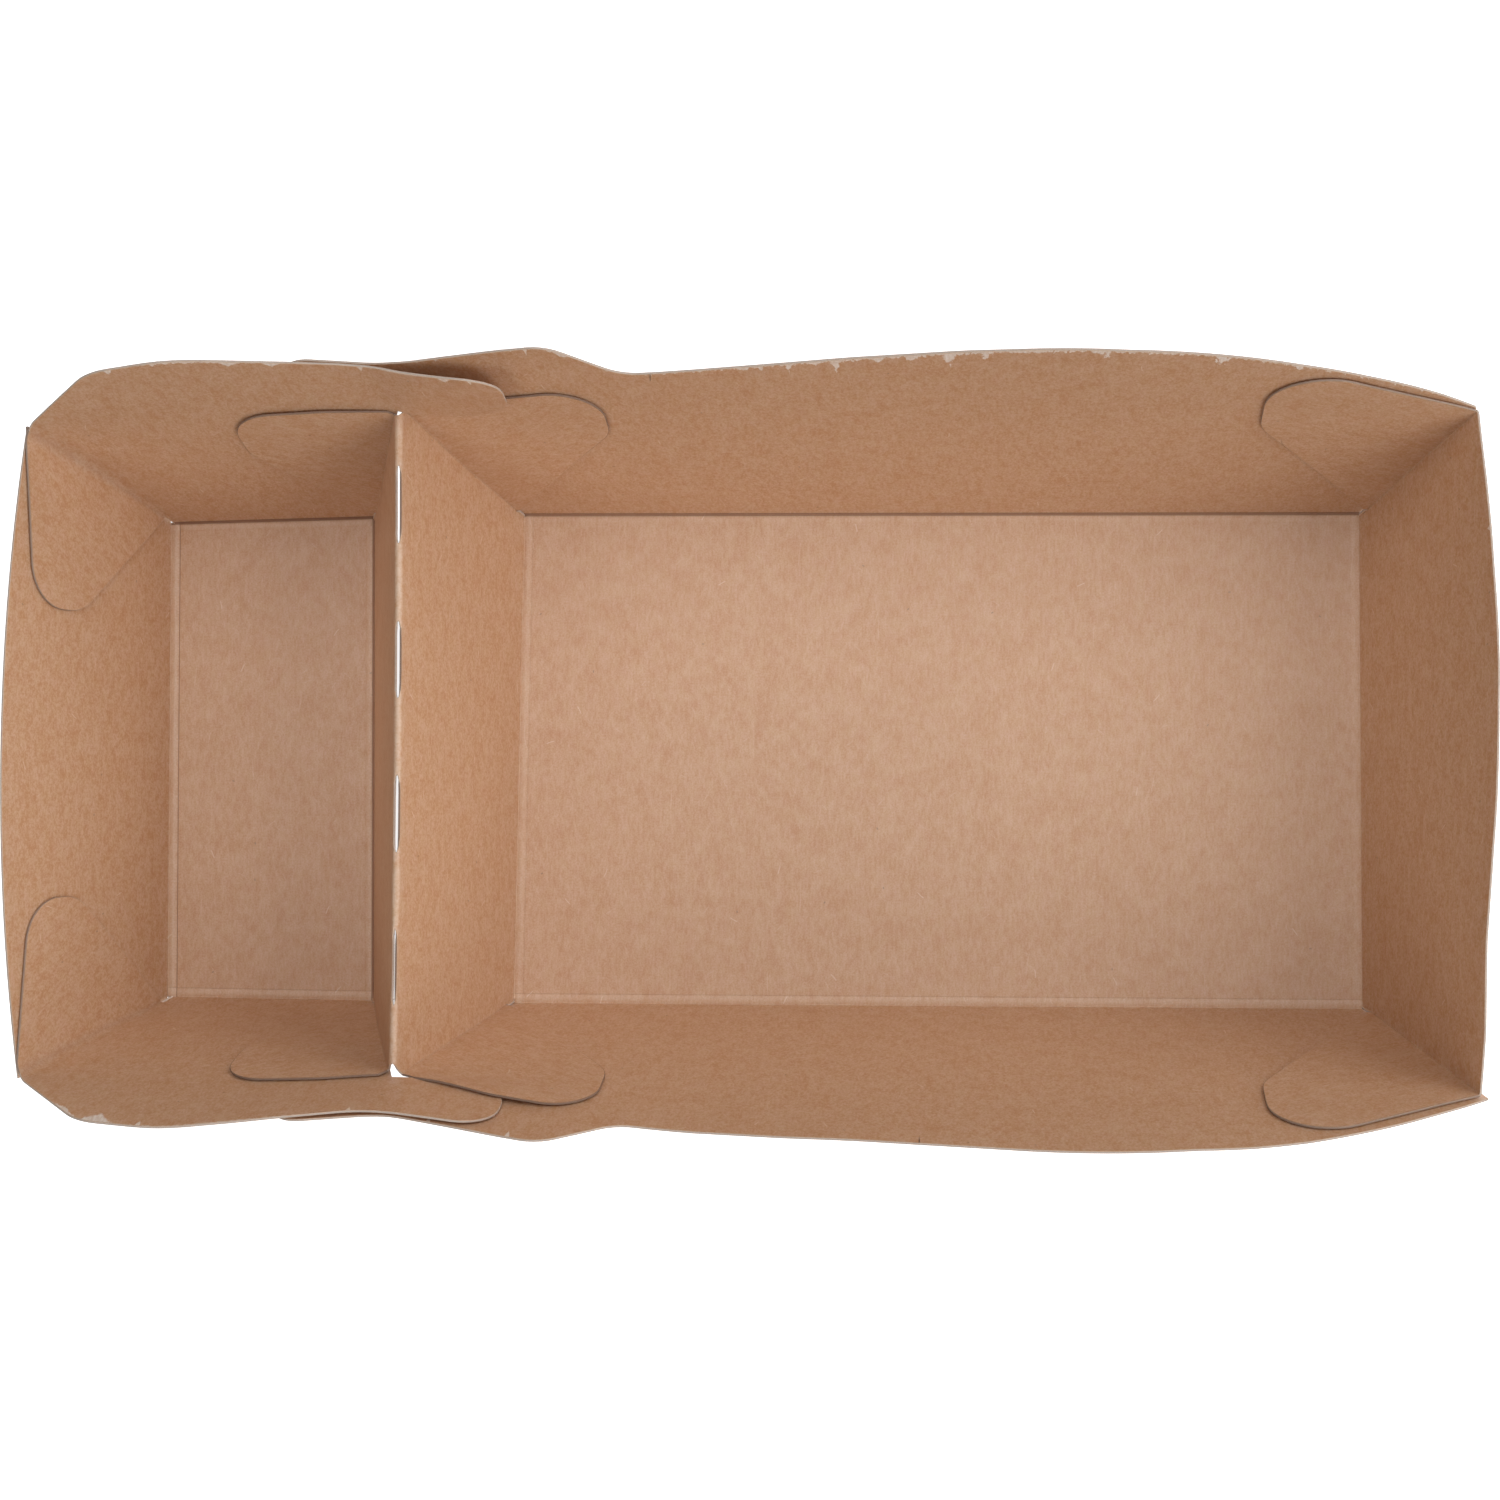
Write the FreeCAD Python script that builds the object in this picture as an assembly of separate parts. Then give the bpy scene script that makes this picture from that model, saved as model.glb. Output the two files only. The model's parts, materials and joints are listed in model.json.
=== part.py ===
import FreeCAD, Part
import math
import os

from FreeCAD import Matrix, Placement, Vector

# A two-compartment snack tray, folded and glued from one die-cut sheet of kraft paperboard.
# +Z is up. The origin is on the table, under the middle of the floor. +X runs along the tray
# towards the large compartment and +Y runs across it. Lengths are in mm, angles in degrees.

# Board and folds
board = 0.45             # thickness of the sheet
crease_radius = 0.35     # inside radius of a scored fold
ridge_radius = 0.40      # inside radius of the perforated fold on top of the divider

# Floor, from fold to fold along the outer faces
small_floor = 29.7       # length of the small compartment's floor
divider_foot = 20.5      # gap between the two floors, under the divider
large_floor = 117.6      # length of the large compartment's floor
floor_width = 69.1       # across the floor, between the large side walls

# Lean of the walls away from upright
side_lean = 17.0
end_lean = 20.0
divider_lean = 17.4

corner_height = 29.6     # above the table, where an end wall meets a side wall

# Rims, with heights measured up the slope of their wall
end_crown = 35.7         # middle of an end wall's arched rim

# Rim of a large side wall: (distance from its end fold, height, corner radius)
large_shoulder = (16.2, 52.7, 82.0)
large_dip = (96.9, 43.1, 6.0)
large_peak = (105.6, 49.9, 5.0)

# Rim of a small side wall: (distance from its end fold, height, corner radius)
small_shoulder = (2.6, 46.1, 9.0)
small_peak = (13.9, 48.5, 25.0)

# Tongues, where the two side walls lap past each other over the ends of the divider
large_saddle = (1.3, 43.9, 15.0)     # in the rim by the ridge: distance past it, height, corner radius
small_saddle = (-2.1, 44.4, 15.0)
large_tongue = (-14.1, 46.4, 3.5)    # upper corner of the tongue, in the same way
small_tongue = (16.0, 47.0, 3.8)
tongue_rise = 1.2        # of a tongue's lower edge, from the ridge to its nose
tongue_chin = 6.8        # radius under a tongue's nose
tongue_splay = 3.0       # turn of the small tongue off the large wall
tongue_hinge = 3.0       # where that turn starts, before the ridge

# Glue tabs: (reach from the foot of the fold, lower corner, upper corner, nose radius)
end_tab = (16.3, 28.2, 46.9, 7.0)
large_divider_tab = (17.2, 27.2, 42.0, 6.0)
small_divider_tab = (12.2, 22.9, 35.2, 6.0)
side_tab = (14.7, 20.7, 30.4, 6.5)
tab_foot = 2.5           # length of fold below a tab's lower edge

# Perforation along the ridge, in equal cuts and ties
cut_length = 10.0
cut_pitch = 20.0
cut_count = 4
cut_opening = 0.6        # width that the fold opens a cut to
ridge_notch = (1.9, 1.2) # along and across the tray, at each end of the ridge

overhang = 0.25          # how far a wall's cut edge covers the fold behind it
tab_root = 2.0           # how far a tab's outline runs back past its fold
notch_radius = 1.0       # inside corner between a wall's edge and its tongue
notch_depth = 1.8        # how far a ridge notch runs down from the middle of the fold
fold_margin = 0.05       # board left square beyond a fold's radius
shortest_side = 0.05     # straight left between two rounded corners

reach = 200.0            # longer than anything here, for faces that a cut runs past
skin = 1.0               # how far a keeping tool stands outside the board
flange = 8.0             # how far a wall's tool takes in the floor beside it
wall_top = 62.0          # height of the basins before their rims are cut


def tan(angle):
    return math.tan(math.radians(angle))


def cos(angle):
    return math.cos(math.radians(angle))


def sin(angle):
    return math.sin(math.radians(angle))


# Places that follow from the sizes above
length = small_floor + divider_foot + large_floor
left_fold = -length / 2
small_fold = left_fold + small_floor
large_fold = small_fold + divider_foot
right_fold = length / 2
ridge_x = (small_fold + large_fold) / 2
half_width = floor_width / 2
side_ply = board / cos(side_lean)        # one board thickness, measured level across a side wall
end_ply = board / cos(end_lean)
ridge_centre = divider_foot / 2 / tan(divider_lean) - ridge_radius / sin(divider_lean)
fold_depth = board + crease_radius + fold_margin     # from the outer face to where a fold ends
ridge_height = (ridge_centre + ridge_radius + board) / cos(side_lean)   # ridge's ends, up the side walls
tongue_fold = ridge_x - tongue_hinge
side_corner = corner_height / cos(side_lean)
end_corner = corner_height / cos(end_lean)
right_corner = right_fold + tan(end_lean) * corner_height
first_cut = (cut_count - 1) * cut_pitch / 2 + cut_length / 2


def rounded(corners):
    """Flat face with the given corners, each (x, y, radius), and an arc where a radius is given.

    A radius shrinks where its arc would run past the end of a side.
    """
    count = len(corners)
    points = [Vector(x, y, 0) for x, y, radius in corners]
    arms = [(points[i - 1] - points[i], points[(i + 1) % count] - points[i]) for i in range(count)]
    halves = [before.getAngle(after) / 2 for before, after in arms]
    trims = [corner[2] / math.tan(half) for corner, half in zip(corners, halves)]
    turns = []
    for i, (before, after) in enumerate(arms):
        room_before = before.Length / (trims[i - 1] + trims[i] + shortest_side)
        room_after = after.Length / (trims[i] + trims[(i + 1) % count] + shortest_side)
        fit = min(1, room_before, room_after)
        radius = corners[i][2] * fit
        before.normalize()
        after.normalize()
        bisector = (before + after).normalize()
        turns.append((points[i] + before * (trims[i] * fit),
                      points[i] + bisector * (radius / math.sin(halves[i]) - radius),
                      points[i] + after * (trims[i] * fit), radius))
    edges = []
    for i, (start, middle, stop, radius) in enumerate(turns):
        if radius:
            edges.append(Part.Arc(start, middle, stop).toShape())
        edges.append(Part.makeLine(stop, turns[(i + 1) % count][0]))
    return Part.Face(Part.Wire(edges))


def placed(origin, along, up):
    """Placement that takes a drawing's x to along and its y to up."""
    out = along.cross(up)
    return Placement(Matrix(along.x, up.x, out.x, origin.x,
                            along.y, up.y, out.y, origin.y,
                            along.z, up.z, out.z, origin.z,
                            0, 0, 0, 1))


def plate(face, frame, near, far):
    """The drawing as a plate, from near to far inwards of the frame's plane."""
    solid = face.translated(Vector(0, 0, near)).extrude(Vector(0, 0, far - near))
    solid.Placement = frame.multiply(solid.Placement)
    return solid


def side_frame():
    """Outer face of the +Y large side wall: x along the tray, y up the slope."""
    return placed(Vector(0, half_width, 0), Vector(1, 0, 0), Vector(0, sin(side_lean), cos(side_lean)))


def end_frame(fold, way):
    """Outer face of an end wall, way being +1 at the large end and -1 at the small one."""
    up = Vector(way * sin(end_lean), 0, cos(end_lean))
    return placed(Vector(fold, 0, 0), Vector(0, -way, 0), up)


def both_sides(shape):
    return shape.fuse(shape.mirror(Vector(0, 0, 0), Vector(0, 1, 0)))


def box(x0, x1, y0, y1, z0, z1):
    return Part.makeBox(x1 - x0, y1 - y0, z1 - z0, Vector(x0, y0, z0))


def basin(low, high, side, depth, radius):
    """Filled basin with leaning faces, set in by depth all round, with its folds rounded."""
    def span(z):
        x_low = low[0] - tan(low[1]) * z + depth / cos(low[1])
        x_high = high[0] + tan(high[1]) * z - depth / cos(high[1])
        y = side + tan(side_lean) * z - depth / cos(side_lean)
        return x_low, x_high, y

    (a, b, y0), (c, d, y1) = span(depth), span(wall_top)
    along = rounded([(a, depth, 0), (b, depth, 0), (d, wall_top, 0), (c, wall_top, 0)])
    across = rounded([(-y0, depth, 0), (y0, depth, 0), (y1, wall_top, 0), (-y1, wall_top, 0)])
    upright = placed(Vector(0, reach, 0), Vector(1, 0, 0), Vector(0, 0, 1))
    crosswise = placed(Vector(-2 * reach, 0, 0), Vector(0, 1, 0), Vector(0, 0, 1))
    solid = plate(along, upright, 0, 2 * reach).common(plate(across, crosswise, 0, 4 * reach))
    folds = [edge for edge in solid.Edges if edge.BoundBox.ZMin < depth + 1e-3]
    return solid.makeFillet(radius, folds)


def sheet_basin(low, high, side):
    """The same basin as a sheet, one board thick and open at the top."""
    outer = basin(low, high, side, 0.0, crease_radius + board)
    inner = basin(low, high, side, board, crease_radius)
    return outer.cut(inner)


def side_zone(side):
    """Where a basin's own side walls and their folds lie, on both sides."""
    y = side - fold_depth / cos(side_lean)
    lean = tan(side_lean)
    outline = rounded([(y - lean * skin, -skin, 0), (reach, -skin, 0), (reach, reach, 0),
                       (y + lean * reach, reach, 0)])
    crosswise = placed(Vector(-2 * reach, 0, 0), Vector(0, 1, 0), Vector(0, 0, 1))
    return both_sides(plate(outline, crosswise, 0, 4 * reach))


def tab_face(foot, head, tab, way):
    """Outline of a glue tab, from foot to head along its fold, with its nose along way."""
    reach_out, lower, upper, nose = tab
    tip = foot + way * reach_out
    lean = (head[0] - foot) / head[1]
    clear = way * fold_depth
    behind = way * tab_root
    rise = (upper - head[1]) / (tip - head[0])
    return rounded([(foot + clear, 0, 0), (foot + lean * tab_foot + clear, tab_foot, 0),
                    (tip, lower, nose), (tip, upper, nose),
                    (head[0] - behind, head[1] - rise * behind, 0), (foot - behind, 0, 0)])


def above_ridge(fold, way):
    """What lies over the start of the ridge's bend, on a divider panel whose basin lies along way."""
    up = Vector(-way * sin(divider_lean), 0, cos(divider_lean))
    start = (ridge_x - fold) * up.x + ridge_centre * up.z
    frame = placed(Vector(fold, 0, 0), Vector(0, way, 0), up)
    face = rounded([(-reach, start, 0), (reach, start, 0), (reach, reach, 0), (-reach, reach, 0)])
    return plate(face, frame, -skin, 2 * skin)


def above_rim(way):
    """What lies over the arched rim of an end wall."""
    half = half_width + tan(side_lean) * corner_height
    rim = Part.Arc(Vector(half, end_corner, 0), Vector(0, end_crown, 0), Vector(-half, end_corner, 0))
    corners = [(-half, end_corner), (-reach, end_corner), (-reach, reach), (reach, reach),
               (reach, end_corner), (half, end_corner)]
    sides = Part.makePolygon([Vector(x, y, 0) for x, y in corners])
    face = Part.Face(Part.Wire([rim.toShape()] + sides.Edges))
    return plate(face, end_frame(way * right_fold, way), -skin, fold_depth)


def large_side_walls():
    """Side walls of the large compartment, each with a tongue that laps outside the small wall."""
    nose_x = ridge_x + large_tongue[0]
    face = rounded([
        (large_fold + fold_depth, -flange, 0),
        (right_fold - fold_depth, -flange, 0),
        (right_fold - fold_depth, 0, 0),
        (right_fold + overhang, 0, 0),
        (right_corner + overhang, side_corner, 0),
        (right_fold - large_shoulder[0], *large_shoulder[1:]),
        (right_fold - large_dip[0], *large_dip[1:]),
        (right_fold - large_peak[0], *large_peak[1:]),
        (ridge_x + large_saddle[0], *large_saddle[1:]),
        (nose_x, *large_tongue[1:]),
        (nose_x, ridge_height + tongue_rise, tongue_chin),
        (ridge_x - overhang, ridge_height, notch_radius),
        (large_fold - overhang, 0, 0),
        (large_fold + fold_depth, 0, 0)])
    walls = sheet_basin((-reach, 0), (reach, 0), half_width)
    return walls.common(both_sides(plate(face, side_frame(), -skin, flange)))


def small_wall_face():
    """Outline of a small side wall, with the tongue that laps inside the large wall."""
    nose_x = ridge_x + small_tongue[0]
    return rounded([
        (left_fold + fold_depth, -flange, 0),
        (small_fold - fold_depth, -flange, 0),
        (small_fold - fold_depth, 0, 0),
        (small_fold + overhang, 0, 0),
        (ridge_x + overhang, ridge_height, notch_radius),
        (nose_x, ridge_height + tongue_rise, tongue_chin),
        (nose_x, *small_tongue[1:]),
        (ridge_x + small_saddle[0], *small_saddle[1:]),
        (left_fold + small_peak[0], *small_peak[1:]),
        (left_fold + small_shoulder[0], *small_shoulder[1:]),
        (-right_corner, side_corner, 0),
        (left_fold - tab_root, 0, 0),
        (left_fold + fold_depth, 0, 0)])


def small_side_walls():
    """Side walls of the small compartment, folded in behind the end wall as glue tabs."""
    sheet = sheet_basin((left_fold + end_ply, end_lean), (reach, 0), half_width - side_ply)
    walls = both_sides(plate(small_wall_face(), side_frame(), -skin, flange))
    depth = (board + fold_depth) / cos(end_lean)
    end_zone = rounded([(left_fold + depth + tan(end_lean) * skin, -skin, 0),
                        (left_fold + depth - tan(end_lean) * wall_top, wall_top, 0),
                        (-2 * reach, wall_top, 0), (-2 * reach, -skin, 0)])
    lengthwise = placed(Vector(0, reach, 0), Vector(1, 0, 0), Vector(0, 0, 1))
    end_zone = plate(end_zone, lengthwise, 0, 2 * reach)
    foot = half_width - side_ply
    head = (foot + tan(side_lean) * corner_height, end_corner)
    tabs = both_sides(plate(tab_face(foot, head, side_tab, -1), end_frame(left_fold, -1), 0, 2 * skin))
    past_tongue_fold = box(tongue_fold, reach, -reach, reach, -skin, wall_top)
    kept = sheet.common(walls).cut(end_zone).cut(past_tongue_fold)
    return kept.fuse(sheet.common(end_zone).common(tabs))


def tongues():
    """Tongues of the small side walls, turned a little off the large walls behind them."""
    up = Vector(0, sin(side_lean), cos(side_lean))
    inward = Vector(0, -cos(side_lean), sin(side_lean))
    along = Vector(1, 0, 0) * cos(tongue_splay) + inward * sin(tongue_splay)
    frame = placed(Vector(tongue_fold, half_width - side_ply, 0), along, up)
    sheet = plate(small_wall_face().translated(Vector(-tongue_fold, 0, 0)), frame, 0, board)
    return both_sides(sheet.common(box(tongue_fold - board, reach, 0, reach, ridge_height / 2, wall_top)))


def divider_panel(fold, far, side, tab, way):
    """Divider panel with its floor and its glue tabs, way pointing from the ridge to its basin."""
    ends = ((fold, divider_lean), far) if way > 0 else (far, (fold, divider_lean))
    sheet = sheet_basin(*ends, side)
    head = (fold - way * tan(divider_lean) * cos(side_lean) * ridge_height, ridge_height)
    tabs = both_sides(plate(tab_face(fold, head, tab, way), side_frame(), -skin, flange))
    return sheet, tabs


def large_basin():
    """Divider panel, floor and end wall of the large compartment, with their four glue tabs."""
    side = half_width - side_ply
    sheet, tabs = divider_panel(large_fold, (right_fold, end_lean), side, large_divider_tab, 1)
    outline = tab_face(right_fold, (right_corner, side_corner), end_tab, -1)
    tabs = tabs.fuse(both_sides(plate(outline, side_frame(), -skin, flange)))
    sheet = sheet.cut(side_zone(side).cut(tabs))
    return sheet.cut(above_ridge(large_fold, 1)).cut(above_rim(1))


def small_basin():
    """Divider panel and floor of the small compartment, with two glue tabs."""
    side = half_width - 2 * side_ply
    sheet, tabs = divider_panel(small_fold, (-reach, 0), side, small_divider_tab, -1)
    sheet = sheet.cut(side_zone(side).cut(tabs)).cut(above_ridge(small_fold, -1))
    return sheet.cut(box(-2 * reach, left_fold + fold_depth, -reach, reach, -skin, reach))


def left_end_wall():
    """End wall of the small compartment, outside the tabs of the side walls."""
    half = half_width - side_ply
    lean = tan(side_lean) * cos(end_lean)
    inner = half - fold_depth
    foot = half + overhang
    head = foot + lean * wall_top
    face = rounded([(-inner, -flange, 0), (inner, -flange, 0), (inner, 0, 0), (foot, 0, 0),
                    (head, wall_top, 0), (-head, wall_top, 0), (-foot, 0, 0), (-inner, 0, 0)])
    sheet = sheet_basin((left_fold, end_lean), (reach, 0), reach)
    sheet = sheet.common(plate(face, end_frame(left_fold, -1), -skin, flange))
    return sheet.cut(above_rim(-1))


def ridge():
    """The rounded fold that joins the divider panels."""
    rim = ridge_radius + board
    cross = [(way * r * cos(divider_lean), r * sin(divider_lean)) for way, r in
             ((-1, rim), (1, rim), (1, ridge_radius), (-1, ridge_radius))]
    low_left, low_right, in_right, in_left = [Vector(ridge_x + x, 0, ridge_centre + z) for x, z in cross]
    top = Vector(ridge_x, 0, ridge_centre + rim)
    inside = Vector(ridge_x, 0, ridge_centre + ridge_radius)
    wire = Part.Wire([Part.Arc(low_left, top, low_right).toShape(), Part.makeLine(low_right, in_right),
                      Part.Arc(in_right, inside, in_left).toShape(), Part.makeLine(in_left, low_left)])
    half = half_width + tan(side_lean) * ridge_centre - 2 * side_ply
    return Part.Face(wire).translated(Vector(0, -half, 0)).extrude(Vector(0, 2 * half, 0))


def perforations():
    """Cuts along the ridge, opened to a narrow lens by the fold."""
    cuts = []
    for index in range(cut_count):
        start = first_cut - index * cut_pitch
        ends = Vector(ridge_x, start, 0), Vector(ridge_x, start - cut_length, 0)
        sides = []
        for way in (-1, 1):
            bow = Vector(ridge_x + way * cut_opening / 2, start - cut_length / 2, 0)
            sides.append(Part.Arc(ends[0], bow, ends[1]).toShape())
        cuts.append(Part.Face(Part.Wire(sides)).extrude(Vector(0, 0, wall_top)))
    return cuts


def ridge_notches():
    """Die-cut notches at the ends of the ridge, between its two pairs of tabs."""
    along, across = ridge_notch
    outer = half_width + tan(side_lean) * ridge_centre
    notch = box(ridge_x - along / 2, ridge_x + along / 2, outer - 2 * side_ply - across, outer,
                ridge_centre - notch_depth, wall_top)
    return both_sides(notch)


def tray():
    """The whole sheet, folded and glued."""
    divider = large_basin().fuse([small_basin(), ridge()]).cut(ridge_notches())
    folded = divider.fuse([large_side_walls(), small_side_walls(), tongues(), left_end_wall()])
    return folded.cut(perforations()).removeSplitter()


if __name__ == "__main__":
    os.makedirs("parts", exist_ok=True)
    tray().exportStep("parts/tray.step")
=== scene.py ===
import json
import math

import bpy
import numpy as np
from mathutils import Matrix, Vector, kdtree

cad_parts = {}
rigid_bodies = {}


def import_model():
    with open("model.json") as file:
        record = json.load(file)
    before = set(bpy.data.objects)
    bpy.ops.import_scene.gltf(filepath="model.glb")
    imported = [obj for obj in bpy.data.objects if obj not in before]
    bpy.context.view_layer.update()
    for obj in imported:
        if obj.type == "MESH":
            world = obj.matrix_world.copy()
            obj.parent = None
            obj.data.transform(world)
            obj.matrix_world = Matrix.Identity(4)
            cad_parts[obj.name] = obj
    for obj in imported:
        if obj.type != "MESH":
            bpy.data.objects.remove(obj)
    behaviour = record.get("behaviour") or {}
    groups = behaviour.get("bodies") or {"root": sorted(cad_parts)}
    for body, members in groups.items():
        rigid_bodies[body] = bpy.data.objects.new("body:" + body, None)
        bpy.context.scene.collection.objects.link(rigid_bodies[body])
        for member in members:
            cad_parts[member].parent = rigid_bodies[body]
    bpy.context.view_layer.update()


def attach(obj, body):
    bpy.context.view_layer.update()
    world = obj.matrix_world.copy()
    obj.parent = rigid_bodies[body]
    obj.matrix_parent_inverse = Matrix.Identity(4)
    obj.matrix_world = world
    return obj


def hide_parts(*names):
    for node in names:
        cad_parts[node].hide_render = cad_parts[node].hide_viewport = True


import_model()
mm = 0.001

# the board, folded up from flat: lengths in mm, angles in degrees, heights up the slope of their wall
board = {
    "thick": 0.45,
    "sheet": 0.32,               # the sheet itself, the rest of each ply is air
    "cutRound": 0.08,            # softened corner of every cut edge
    "creaseBend": 0.12,          # inside radius of a score
    "ridgeBend": 0.20,           # inside radius over the divider
    "cornerBend": (0.4, 2.2),    # unscored bends at the small end, foot and head
    "plyGap": 0.03,              # air between glued plies
    "cell": 2.0,                 # mesh size on the flat
    "smallFloor": 29.7,
    "dividerFoot": 20.5,
    "largeFloor": 117.6,
    "width": 69.1,
    "sideLean": 17.0,
    "endLean": 20.0,
    "dividerLean": 17.4,
    "cornerHeight": 29.6,
    "endCrown": 35.7,
    "overhang": 0.25,
    "tabFoot": 2.5,
    "tabClear": 0.85,
    "ear": 0.35,                 # the foot of an end or divider is this much wider than its fold
    "edgeStart": 0.6,
    "earSteps": (0.2, 0.75),
    "archPoints": 41,
    "rounds": 20,                # of closing in on where a line meets the arch
    "largeCorner": {1: (-0.2, 0.9), -1: (0.25, 0)},
    "smallCornerRise": 0.9,
    # rim corners: distance along the tray from the end fold or the ridge, height, over the floor or over the
    # ridge's crest, and radius
    "largeRim": (("end", -16.2, 52.7, 74.0), ("end", -96.9, 43.1, 6.0), ("end", -105.6, 49.9, 5.0),
                 ("ridge", 1.3, 43.9, 15.0), ("ridge", -12.6, 46.4, 3.5), ("crest", -12.6, -0.8, 6.8),
                 ("crest", 4.2, 0.3, 0.1), ("crest", 4.2, -4.0, 2.0)),
    "smallRim": (("crest", 0.3, -0.9, 0.1), ("crest", 15.9, -0.8, 6.8), ("ridge", 15.9, 47.0, 4.7),
                 ("ridge", -2.1, 45.1, 15.0), ("end", 13.9, 48.5, 25.0), ("end", 2.6, 46.1, 9.0)),
    # glue tabs: reach, lower corner, upper corner, nose radius
    "endTab": (16.3, 28.2, 46.9, 7.0),
    "largeDividerTab": (17.2, 27.2, 39.8, 6.2),
    "smallDividerTab": (12.2, 22.9, 33.6, 6.0),
    # the top edge of each divider tab, from its nose to the ridge: beside the ridge, above it, radius
    "tabTop": {
        (1, 1): [(16.4, 2.6, 10.0), (3.9, 0.0, 0), (2.4, -0.4, 0), (1.4, -1.1, 0)],
        (1, -1): [(13.9, 4.0, 10.0), (4.2, 0.1, 0), (2.8, -0.6, 0), (1.8, -1.6, 0)],
        (-1, 1): [(-9.6, 0.1, 20.0), (-1.6, -0.75, 0)],
        (-1, -1): [(-9.6, 0.1, 20.0), (-1.9, -0.7, 0)],
    },
    # the divider panels' corners fall away this far below the crest
    "notchDrop": {1: 0.4, -1: 1.2},
    "sideTab": (14.7, 20.7, 30.4, 6.5),
    # perforated ridge
    "ridgeHalf": 42.2,
    "ridgeShift": 0.45,
    # the board past the crest's end, on the large and the small side
    "ridgeTip": {1: (0.45, 0.0), -1: (0.7, 0.35)},
    "cutShift": 1.06,
    "notchDeep": 0.15,
    "cut": 10.0,
    "pitch": 20.0,
    "cuts": 4,
    "cutOpen": (0.60, 0.62, 0.60, 0.40),
    # how far each edge of a cut is pressed towards the other
    "cutPinch": (0.08, 0.04, 0.04, 0.15),
    "cutReach": 5,               # and how far down its panel that is felt
    # where the points along a cut are, and how its lens narrows towards its ends
    "cutSteps": (0, 0.012, 0.035, 0.09, 0.2, 0.35, 0.5, 0.65, 0.8, 0.91, 0.965, 0.988, 1),
    "cutLens": (5, 0.6),
    "cutEase": (0.15, 2.2),      # the board stops bending over the ridge this near a cut, and eases in
    "cutEdge": 0.12,             # and is straight this far from the ridge's middle line
    "beadWidth": 1.0,            # raised score inside each floor fold
    "beadHigh": 0.10,
    "beadRound": 0.8,            # below 1 the bead is flatter than a half wave
    "beadGap": 0.03,
    "beadSteps": (0.0, 0.2, 0.5, 0.8, 1.0, 1.14, 1.28),
    "beadLine": (1.14, 0.13, 0.07),    # fine groove inside the bead: place, half width, depth
    "foldShade": 0.12,           # how far past a deep score its shade reaches
    "shadeFade": 0.14,
    "deepFold": 0.6,             # a score darker than this is a deep one
    "thinFade": 0.08,            # how far the shade of the others reaches
    # how far each tab's nose stands off its wall, on the high and the low side
    "tabLift": {"tabLeft": (0.40, 0.28), "tabRight": (0.14, 0.10), "endTab": (0.22, 0.22),
                "sideTab": (0.22, 0.22)},
    "tabRise": (1, 10, 30, 1.2),    # a tab lifts between these distances, by its height over 30, at most 1.2
    "ridgeRub": (1.35, 0.62),    # wear on the crest: how wide, how strong
    # painted shade on the cut edges of the tabs, and on those of the ridge's cuts
    "tabDark": {"tabRight": 1, "tabLeft": 1, "endTab": 0.7, "sideTab": 0.7},
    "tabDarkAt": (16, 24),
    "cutDark": (0.95, 0.45),     # on the large and on the small side of the ridge
    "cutNear": 0.5,              # how far from the ridge's middle line
    "weld": (0.002, 0.04),       # points closer than this become one, before and after scoring
    "gridShift": 0.013,          # keeps the grid's lines off the outline's points
    "bendSteps": (4, 8),         # strips over a score, and over the ridge or a bend that widens
    "scoreNear": 0.0004,         # points this close to a score's line are on it
    "roundSteps": (0.9, 9),      # longest side of a rounded corner, in mm and in degrees
    # in the flat the walls' rims lie further out than this, across it or from this place along it
    "rimBeyond": (72, -25, 85),
    "smoothAngle": 35,
}


def pick(*pieces):
    bpy.ops.object.select_all(action="DESELECT")
    for piece in pieces:
        piece.select_set(True)
    bpy.context.view_layer.objects.active = pieces[0]


def editAll():
    bpy.ops.object.mode_set(mode="EDIT")
    bpy.ops.mesh.select_all(action="SELECT")


def adjust(made, **settings):
    for name, value in settings.items():
        setattr(made, name, value)
    return made


def addModifier(piece, name, kind, **settings):
    adjust(piece.modifiers.new(name, kind), **settings)
    bpy.ops.object.modifier_apply(modifier=name)


def atEdges(mesh, values):
    # the values of the faces at each edge
    found = {}
    for face in mesh.polygons:
        for key in face.edge_keys:
            found.setdefault(key, []).append(values[face.index])
    return found


def vec(*values):
    return np.array(values, float)


def unit(v):
    return v / np.linalg.norm(v)


def turn(angle):
    return math.sin(math.radians(angle)), math.cos(math.radians(angle))


leftFold = -(board["smallFloor"] + board["dividerFoot"] + board["largeFloor"]) / 2
smallFold = leftFold + board["smallFloor"]
largeFold = smallFold + board["dividerFoot"]
rightFold = -leftFold
ridgeX = (smallFold + largeFold) / 2
halfWidth = board["width"] / 2
sideSin, sideCos = turn(board["sideLean"])
endSin, endCos = turn(board["endLean"])
divSin, divCos = turn(board["dividerLean"])
ridgeCentre = board["dividerFoot"] / 2 * divCos / divSin - board["ridgeBend"] / divSin
ridgeHeight = (ridgeCentre + board["ridgeBend"] + board["thick"]) / sideCos
sideCorner = board["cornerHeight"] / sideCos
endCorner = board["cornerHeight"] / endCos
rightCorner = rightFold + endSin / endCos * board["cornerHeight"]

panels = []


def panel(origin, along, up, inward, ply):
    # a flat part of the board, so many plies in from the outside
    depth = (ply + 0.5) * board["thick"] + ply * board["plyGap"]
    new = {"point": vec(*origin) + vec(*inward) * depth, "along": vec(*along), "up": vec(*up),
           "inward": vec(*inward), "crease": None, "children": [], "index": len(panels), "outline": []}
    panels.append(new)
    return new


def on(p, x, h):
    # a place on a panel's middle plane
    return p["point"] + x * p["along"] + h * p["up"]


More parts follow.
